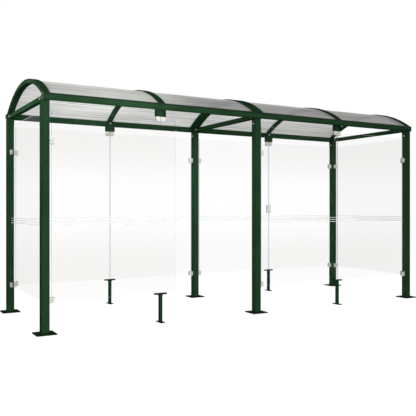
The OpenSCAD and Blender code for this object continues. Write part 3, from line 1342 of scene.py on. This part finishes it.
@dataclass
class RoofTrim(Assembly):
    """Seals and screws of the roof."""

    curve: RoofCurve
    seal_w: float = 4 * MM
    seal_h: float = 3 * MM
    seal_lift: float = 0.1 * MM
    end_seal_w: float = 3 * MM
    eave_shadow_seal_h: float = 18 * MM
    eave_shadow_seal_d: float = 13 * MM
    eave_shadow_seal_out: float = 0.6 * MM
    eave_shadow_seal_edge: float = 0.4 * MM
    screw: DomeScrew = DomeScrew(radius=7 * MM, height=4 * MM)
    screws_per_strip: int = 9
    screw_reach: float = 0.93

    def build(self) -> None:
        """Makes the trim."""
        strips = self.solids("cover_strips")
        self.build_seals(strips)
        self.build_end_seals()
        self.build_eave_shadow_seals()
        self.build_screws(strips)

    def build_eave_shadow_seals(self) -> None:
        """Dark rubber seals under the sheets' eaves, in the rounded outer top edges of the beams; they also
        paint the shadow under the eaves.
        """
        builder = MeshBuilder()
        for beam, side in (("front_beam", -1), ("rear_beam", 1)):
            box = node_box(beam)
            face = box.face(Y, side) + side * self.eave_shadow_seal_out
            upright = (box.high.z - self.eave_shadow_seal_h, box.high.z)
            level = (box.low.x, box.high.x)
            # The dark strip also paints the shadow under the eave.
            builder.face_strip(face, Y, -side * self.eave_shadow_seal_d, level, upright, self.eave_shadow_seal_edge)
        builder.finish("eave_shadow_seals", self.palette.rubber, Slot.PAINT)

    def build_seals(self, strips: list[Box]) -> None:
        """Rubber seals beside the cover strips, apart from the shelter's two ends.

        Args:
            strips: Boxes of the cover strips.
        """
        builder = MeshBuilder()
        inner = self.curve.outer + self.seal_lift
        last_strip = max(abs(box.centre.x) for box in strips)
        for box in strips:
            for side in SIDES:
                edge = box.face(X, side)
                if abs(edge) > last_strip:
                    continue
                x0, x1 = sorted((edge, edge + side * self.seal_w))
                builder.arc_band((x0, x1), (inner, inner + self.seal_h), self.curve)
        builder.finish("strip_seals", self.palette.rubber, Slot.PAINT)

    def build_end_seals(self) -> None:
        """Seals that close the ends of the outer sheets, in the gap beside the end arches' faces."""
        builder = MeshBuilder()
        for sheet, side in (("left_end_roof_sheet", -1), ("right_end_roof_sheet", 1)):
            edge = node_box(sheet).face(X, side)
            x0, x1 = sorted((edge, edge + side * self.end_seal_w))
            builder.arc_band((x0, x1), (self.curve.inner, self.curve.outer), self.curve)
        builder.finish("sheet_end_seals", self.palette.rubber, Slot.PAINT)

    def build_screws(self, strips: list[Box]) -> None:
        """Painted screws along each cover strip.

        Args:
            strips: Boxes of the cover strips.
        """
        builder = MeshBuilder()
        for box in strips:
            radius = box.high.z - self.curve.centre_z
            for step in range(self.screws_per_strip):
                share = self.screw_reach * (2 * step / (self.screws_per_strip - 1) - 1)
                at = self.curve.point(box.centre.x, radius, share)
                self.screw.add(builder, at, self.curve.outward(share, radius))
        builder.finish("strip_screws", self.palette.paint, Slot.PAINT)


@dataclass(frozen=True)
class Lamp:
    """Square area lamp, which shows neither in gloss nor through glass."""

    name: str
    at: Point
    aim: Point
    size: float
    power: float
    spread_deg: float = 180.0

    def hang(self) -> None:
        """Adds the lamp to the scene."""
        data = bpy.data.lights.new(self.name, "AREA")
        data.size = self.size
        data.energy = self.power
        data.spread = math.radians(self.spread_deg)
        lamp = bpy.data.objects.new(self.name, data)
        lamp.location = self.at
        lamp.visible_glossy = False
        lamp.visible_transmission = False
        lamp.rotation_euler = (Vector(self.aim) - Vector(self.at)).to_track_quat("-Z", "Y").to_euler()
        bpy.context.scene.collection.objects.link(lamp)


@dataclass
class Studio:
    """Camera, lamps, floor and white surround.

    The key stands in front and the back lamp behind. Fill and end light the near end, and wash the beams.
    """

    eye: Point = (-4.143, -6.772, 1.230)
    heading_deg: float = -30.06
    lens_px: float = 618.5
    sensor_mm: float = 36.0
    floor_half: float = 60.0
    surround_light: float = 0.48
    floor_glow: float = 0.895
    floor_shown: float = 0.22
    floor_bounce: float = 0.12
    lamps: tuple[Lamp, ...] = (
        Lamp("key", at=(-2.4, -8.0, 1.8), aim=(-3.0, 0.0, 1.6), size=4.0, power=560.0),
        Lamp("back", at=(2.6, 8.0, 4.4), aim=(0.4, 0.0, 2.1), size=4.0, power=22.0, spread_deg=36.0),
        Lamp("fill", at=(-7.5, -0.8, 3.6), aim=(-2.5, 0.0, 2.45), size=1.2, power=16.0, spread_deg=30.0),
        Lamp("end", at=(-6.5, -1.0, 1.0), aim=(-2.5, 0.3, 1.1), size=1.5, power=38.0),
        Lamp("wash", at=(-2.6, -9.0, 0.6), aim=(-1.6, 0.0, 2.4), size=1.0, power=4.5, spread_deg=13.0),
    )

    def build(self) -> None:
        """Sets the studio up."""
        self.place_camera()
        self.light_surround()
        for lamp in self.lamps:
            lamp.hang()
        self.lay_floor()
        bpy.context.scene.view_settings.view_transform = "Standard"

    def place_camera(self) -> None:
        """Level camera at the photograph's viewpoint."""
        data = bpy.data.cameras.new("camera")
        data.sensor_width = self.sensor_mm
        data.lens = self.lens_px * self.sensor_mm / PHOTO_SIDE
        camera = bpy.data.objects.new("camera", data)
        camera.location = self.eye
        camera.rotation_euler = (math.pi / 2, 0, math.radians(self.heading_deg))
        bpy.context.scene.collection.objects.link(camera)
        bpy.context.scene.camera = camera

    @staticmethod
    def shown_rays(maker: NodeMaker) -> Socket:
        """Mask of the rays that show the white studio: to the camera, in gloss and through glass.

        Args:
            maker: Node tree that it goes into.

        Returns:
            The mask.
        """
        path = maker.node("LightPath").outputs
        indirect = maker.math("MAXIMUM", path["Is Glossy Ray"], path["Is Transmission Ray"])
        return maker.math("MAXIMUM", path["Is Camera Ray"], indirect)

    def light_surround(self) -> None:
        """White surround that lights softly, and is white directly, in gloss and through glass."""
        world = bpy.data.worlds.new("surround")
        world.use_nodes = True
        maker = NodeMaker(world.node_tree)
        level = maker.scaled(self.shown_rays(maker), self.surround_light, 1.0)
        maker.fill(maker.tree.nodes["Background"], Color=WHITE, Strength=level)
        bpy.context.scene.world = world

    def lay_floor(self) -> None:
        """White floor, whose own glow for the eye leaves only a soft shadow."""
        half = self.floor_half
        corners = [(-half, -half, 0), (half, -half, 0), (half, half, 0), (-half, half, 0)]
        data = bpy.data.meshes.new("floor")
        data.from_pydata(corners, [], [tuple(range(len(corners)))])
        maker = MaterialMaker("white_floor")
        seen = self.shown_rays(maker)
        bounce = (self.floor_bounce,) * 3 + (1.0,)
        shown = (self.floor_shown,) * 3 + (1.0,)
        maker.shade(
            Base_Color=maker.mix(seen, bounce, shown),
            Roughness=1.0,
            Specular_IOR_Level=0.0,
            Emission_Color=WHITE,
            Emission_Strength=maker.scaled(seen, 0.0, self.floor_glow),
        )
        data.materials.append(maker.material)
        floor = bpy.data.objects.new("floor", data)
        bpy.context.scene.collection.objects.link(floor)


def main() -> None:
    """Loads the frame, dresses it, adds the fittings and sets the studio."""
    logging.basicConfig(level=logging.INFO, format="%(name)s: %(message)s")
    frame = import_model()
    nodes = frame["nodes"]
    Studio().build()
    curve = RoofCurve.measure("left_end_roof_sheet", "rear_beam")
    palette = Palette.make(curve)
    FrameDress(nodes, palette).dress()
    FrameFixings(nodes, palette).build()
    GlassFittings(nodes, palette).build()
    RoofTrim(nodes, palette, curve).build()


if __name__ == "__main__":
    main()
